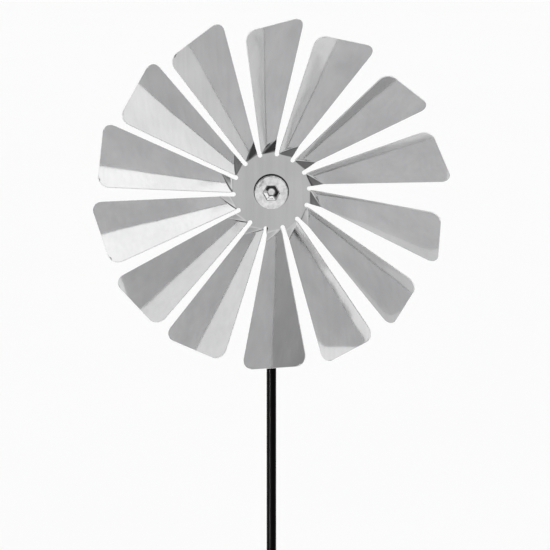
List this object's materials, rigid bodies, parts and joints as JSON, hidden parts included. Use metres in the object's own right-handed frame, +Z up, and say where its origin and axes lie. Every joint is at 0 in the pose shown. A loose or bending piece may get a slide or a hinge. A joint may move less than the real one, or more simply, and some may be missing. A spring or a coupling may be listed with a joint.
{
  "type": "garden windmill",
  "caption": "Garden windmill: a bent sheet-metal wheel that turns on a ball-bearing axle at the top of a pointed ground rod.",
  "frame": {"origin": "on the rod's axis at soil level", "axes": "+Z up along the rod; the wheel faces -Y; +X to the right of somebody who looks at the wheel's front"},
  "size_m": [0.29, 0.1219, 1.1987],
  "materials": {
    "polished_sheet": "polished stainless sheet with a faint grain",
    "polished_screw": "bright polished",
    "turned_steel": "fine turned",
    "bearing_steel": "ground and polished",
    "spring_steel": "blackened, lightly oiled",
    "black_coating": "gloss black powder coating",
    "rubber": "matt",
    "nylon": "natural, slightly translucent white"
  },
  "bodies": {
    "stand": {"bearing_housing": "black_coating", "outer_race_front": "bearing_steel", "outer_race_rear": "bearing_steel", "shields_front": "turned_steel", "shields_rear": "turned_steel", "retaining_ring_front": "spring_steel", "retaining_ring_rear": "spring_steel", "grub_screw": "spring_steel", "rod_upper": "black_coating", "rod_middle": "black_coating", "rod_lower": "black_coating"},
    "rotor": {"rotor_sheet": "polished_sheet", "axle_screw": "polished_screw", "front_collar": "spring_steel", "rubber_washer": "rubber", "backing_disc": "turned_steel", "front_spacer": "turned_steel", "bearing_spacer": "turned_steel", "rear_spacer": "turned_steel", "rear_washer": "turned_steel", "lock_nut": "turned_steel", "lock_nut_insert": "nylon", "inner_race_front": "bearing_steel", "inner_race_rear": "bearing_steel"},
    "ball_set_front": {"balls_front": "bearing_steel", "cage_front": "nylon"},
    "ball_set_rear": {"balls_rear": "bearing_steel", "cage_rear": "nylon"}
  },
  "joints": [
    {"name": "rotor_spin", "type": "hinge", "parent": "stand", "child": "rotor", "pos_m": [0, 0, 0.855], "axis": [0, -1, 0], "continuous": true},
    {"name": "cage_front_spin", "type": "hinge", "parent": "stand", "child": "ball_set_front", "pos_m": [0, 0, 0.855], "axis": [0, -1, 0], "continuous": true},
    {"name": "cage_rear_spin", "type": "hinge", "parent": "stand", "child": "ball_set_rear", "pos_m": [0, 0, 0.855], "axis": [0, -1, 0], "continuous": true}
  ],
  "couplings": [
    {"joint": "cage_front_spin", "follows": "rotor_spin", "ratio": 0.3677},
    {"joint": "cage_rear_spin", "follows": "rotor_spin", "ratio": 0.3677}
  ]
}
